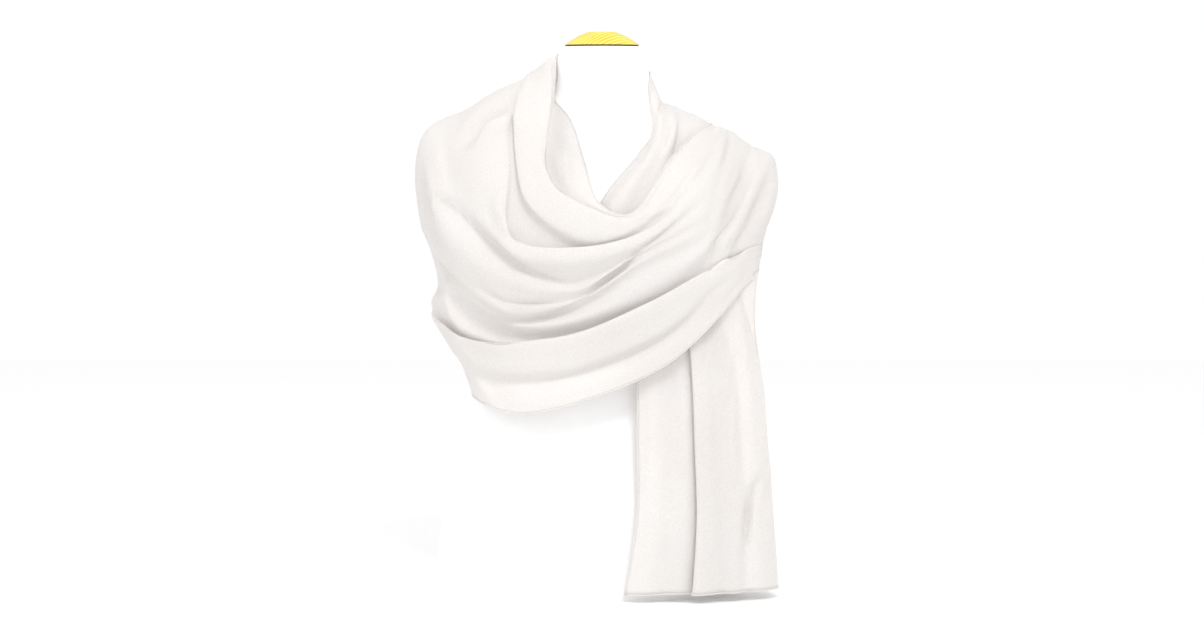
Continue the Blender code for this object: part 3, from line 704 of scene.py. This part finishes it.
class Nodes:
    """A short way to write a material's nodes."""

    def __init__(self, name):
        self.material = bpy.data.materials.new(name)
        self.material.use_nodes = True
        self.tree = self.material.node_tree
        self.tree.nodes.clear()

    def add(self, kind, inputs=None, **settings):
        """A node, with its inputs set or linked and its settings set."""
        node = self.tree.nodes.new(kind)
        for key, value in settings.items():
            setattr(node, key, value)
        for key, value in (inputs or {}).items():
            socket = node.inputs[key]
            if isinstance(value, bpy.types.NodeSocket):
                self.tree.links.new(value, socket)
            else:
                socket.default_value = value
        return node

    def ramp(self, value, low, high, start=0.0, end=1.0):
        """The value brought from start..end to low..high."""
        node = self.add("ShaderNodeMapRange", {"Value": value})
        node.inputs["From Min"].default_value = start
        node.inputs["From Max"].default_value = end
        node.inputs["To Min"].default_value = low
        node.inputs["To Max"].default_value = high
        return node.outputs["Result"]

    def mix(self, factor, first, second):
        """Two colours mixed, the first at a factor of 0 and the second at 1."""
        node = self.add("ShaderNodeMix", {"Factor": factor}, data_type="RGBA")
        for socket, value in ((node.inputs[6], first), (node.inputs[7], second)):
            if isinstance(value, bpy.types.NodeSocket):
                self.tree.links.new(value, socket)
            else:
                socket.default_value = (*value, 1)
        return node.outputs[2]


def chiffon_material(name, opacity):
    """Sheer ivory chiffon: a fine crepe weave, part see-through and lit through."""
    n = Nodes(name)
    place = n.add("ShaderNodeTexCoord").outputs["Object"]
    cloudy = n.add("ShaderNodeTexNoise", {"Vector": place, "Scale": 9.0, "Detail": 3.0}).outputs[0]
    crepe = n.add(
        "ShaderNodeTexNoise", {"Vector": place, "Scale": 950.0, "Detail": 2.0, "Roughness": 0.6}
    ).outputs[0]
    slub = n.add("ShaderNodeTexNoise", {"Vector": place, "Scale": 160.0, "Detail": 4.0}).outputs[0]
    colour = n.mix(n.ramp(cloudy, 0.0, 1.0, 0.3, 0.7), CHIFFON_WARM, CHIFFON_LIGHT)
    height = n.add("ShaderNodeMath", {0: crepe, 1: n.ramp(slub, 0.0, 0.6)}, operation="ADD")
    bump = n.add(
        "ShaderNodeBump", {"Height": height.outputs[0], "Strength": 0.4, "Distance": 0.0005}
    ).outputs["Normal"]
    cloth = n.add(
        "ShaderNodeBsdfPrincipled",
        {
            "Base Color": colour,
            "Roughness": n.ramp(slub, 0.62, 0.8),
            "Normal": bump,
            "Sheen Weight": 0.35,
            "Sheen Roughness": 0.45,
            "Specular IOR Level": 0.25,
        },
    ).outputs[0]
    glow = n.add("ShaderNodeBsdfTranslucent", {"Color": colour, "Normal": bump}).outputs[0]
    lit = n.add("ShaderNodeMixShader", {0: GLOW_SHARE, 1: cloth, 2: glow}).outputs[0]
    clear = n.add("ShaderNodeBsdfTransparent").outputs[0]
    cover = n.ramp(crepe, opacity - HOLLOWS_LESS, min(opacity + THREADS_MORE, 1.0), 0.3, 0.7)
    sheer = n.add("ShaderNodeMixShader", {0: cover, 1: clear, 2: lit}).outputs[0]
    n.add("ShaderNodeOutputMaterial", {"Surface": sheer})
    return n.material


def form_material():
    """Smooth satin white plastic with faint mottling."""
    n = Nodes("form_white")
    place = n.add("ShaderNodeTexCoord").outputs["Object"]
    mottle = n.add("ShaderNodeTexNoise", {"Vector": place, "Scale": 30.0, "Detail": 5.0}).outputs[0]
    grain = n.add("ShaderNodeTexNoise", {"Vector": place, "Scale": 600.0, "Detail": 2.0}).outputs[0]
    colour = n.mix(n.ramp(mottle, 0.0, 1.0, 0.35, 0.65), FORM_SHADE, FORM_WHITE)
    bump = n.add(
        "ShaderNodeBump", {"Height": grain, "Strength": 0.05, "Distance": 0.0002}
    ).outputs["Normal"]
    shell = n.add(
        "ShaderNodeBsdfPrincipled",
        {"Base Color": colour, "Roughness": n.ramp(mottle, 0.42, 0.55), "Normal": bump},
    ).outputs[0]
    n.add("ShaderNodeOutputMaterial", {"Surface": shell})
    return n.material


def cap_material():
    """Yellow varnished wood with pale slanting grain, and a painted shadow line round its foot
    where it sits on the neck.
    """
    n = Nodes("cap_wood")
    place = n.add("ShaderNodeTexCoord").outputs["Object"]
    turned = n.add("ShaderNodeMapping", {"Vector": place, "Rotation": (0.2, -0.75, 0.35)})
    grain = n.add(
        "ShaderNodeTexWave",
        {
            "Vector": turned.outputs[0],
            "Scale": 62.0,
            "Distortion": 2.5,
            "Detail": 3.0,
            "Detail Scale": 1.2,
        },
    ).outputs["Fac"]
    pores = n.add("ShaderNodeTexNoise", {"Vector": turned.outputs[0], "Scale": 400.0}).outputs[0]
    blotch = n.add("ShaderNodeTexNoise", {"Vector": place, "Scale": 45.0}).outputs[0]
    streaks = n.ramp(grain, 0.0, 1.0, 0.35, 0.95)
    wood = n.mix(n.ramp(blotch, 0.0, 1.0, 0.4, 0.6), WOOD_DARK, WOOD_MID)
    wood = n.mix(streaks, wood, WOOD_LIGHT)
    # Below a plane that slopes with the neck's top, the wood is painted near-black: a painted
    # shadow where the cap sits on the neck.
    height = n.add(
        "ShaderNodeVectorMath",
        {0: place, 1: (0.0, -NECK_SLOPE, 1.0)},
        operation="DOT_PRODUCT",
    ).outputs["Value"]
    clear_of_painted_shadow = n.ramp(height, 0.0, 1.0, CAP_SHADOW_LINE * MM, (CAP_SHADOW_LINE + CAP_SHADOW_LINE_EDGE) * MM)
    colour = n.mix(clear_of_painted_shadow, CAP_SHADOW_LINE_COLOUR, wood)
    bump = n.add(
        "ShaderNodeBump", {"Height": pores, "Strength": 0.15, "Distance": 0.0003}
    ).outputs["Normal"]
    shader = n.add(
        "ShaderNodeBsdfPrincipled",
        {
            "Base Color": colour,
            "Roughness": n.ramp(pores, 0.4, 0.55),
            "Normal": bump,
            "Specular IOR Level": 0.3,
            "Coat Weight": 0.1,
            "Coat Roughness": 0.3,
        },
    ).outputs[0]
    n.add("ShaderNodeOutputMaterial", {"Surface": shader})
    return n.material


def area_light(name, place, size, power):
    """A round lamp that shines on the middle of the form."""
    lamp = bpy.data.lights.new(name, "AREA")
    lamp.shape = "DISK"
    lamp.size = size
    lamp.energy = power
    made = bpy.data.objects.new(name, lamp)
    made.location = place
    made.rotation_euler = (Vector(LIGHT_TARGET) - Vector(place)).to_track_quat("-Z", "Y").to_euler()
    bpy.context.scene.collection.objects.link(made)


def make_stage():
    """The pale floor, the white surroundings and the two lamps."""
    (left, right), (front, back) = FLOOR_X, FLOOR_Y
    corners = [(left, front, 0), (right, front, 0), (right, back, 0), (left, back, 0)]
    mesh = bpy.data.meshes.new("floor")
    mesh.from_pydata(corners, [], [(0, 1, 2, 3)])
    floor = bpy.data.objects.new("floor", mesh)
    bpy.context.scene.collection.objects.link(floor)
    n = Nodes("floor_white")
    paint = n.add("ShaderNodeBsdfDiffuse", {"Color": (0.97, 0.97, 0.97, 1)}).outputs[0]
    n.add("ShaderNodeOutputMaterial", {"Surface": paint})
    mesh.materials.append(n.material)
    world = bpy.data.worlds.new("studio")
    world.use_nodes = True
    sky = world.node_tree.nodes["Background"]
    sky.inputs["Color"].default_value = (1, 1, 1, 1)
    sky.inputs["Strength"].default_value = WORLD_STRENGTH
    bpy.context.scene.world = world
    area_light("key", KEY_PLACE, KEY_SIZE, KEY_POWER)
    area_light("fill", FILL_PLACE, FILL_SIZE, FILL_POWER)
    bpy.context.scene.view_settings.view_transform = "Standard"


def make_camera():
    """The camera, level with the middle of the form and straight in front of it."""
    data = bpy.data.cameras.new("camera")
    data.sensor_width = CAMERA_SENSOR
    data.lens = CAMERA_LENS
    data.dof.use_dof = False
    camera = bpy.data.objects.new("camera", data)
    camera.location = CAMERA_PLACE
    camera.rotation_euler = (np.pi / 2, 0, 0)
    bpy.context.scene.collection.objects.link(camera)
    bpy.context.scene.camera = camera


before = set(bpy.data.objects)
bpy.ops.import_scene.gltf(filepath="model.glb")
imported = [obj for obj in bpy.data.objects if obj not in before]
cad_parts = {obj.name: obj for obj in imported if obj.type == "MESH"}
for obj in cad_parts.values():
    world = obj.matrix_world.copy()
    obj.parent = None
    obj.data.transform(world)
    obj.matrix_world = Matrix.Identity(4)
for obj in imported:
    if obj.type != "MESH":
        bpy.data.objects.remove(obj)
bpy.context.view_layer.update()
make_camera()
make_stage()

scarf, grid, mean_length = make_scarf(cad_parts["dress_form"])
scarf.data.materials.append(chiffon_material("chiffon", CHIFFON_OPACITY))
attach(scarf, "root")
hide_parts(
    "scarf_front_end", "scarf_behind_neck", "scarf_chest_wrap", "scarf_back_end"
)

hem = make_hem(grid)
hem.data.materials.append(chiffon_material("chiffon_hem", HEM_OPACITY))
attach(hem, "root")

for node, made in (("dress_form", form_material()), ("neck_cap", cap_material())):
    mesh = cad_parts[node].data
    mesh.materials.clear()
    mesh.materials.append(made)

print("mean length of the scarf's lines", round(mean_length), "mm")
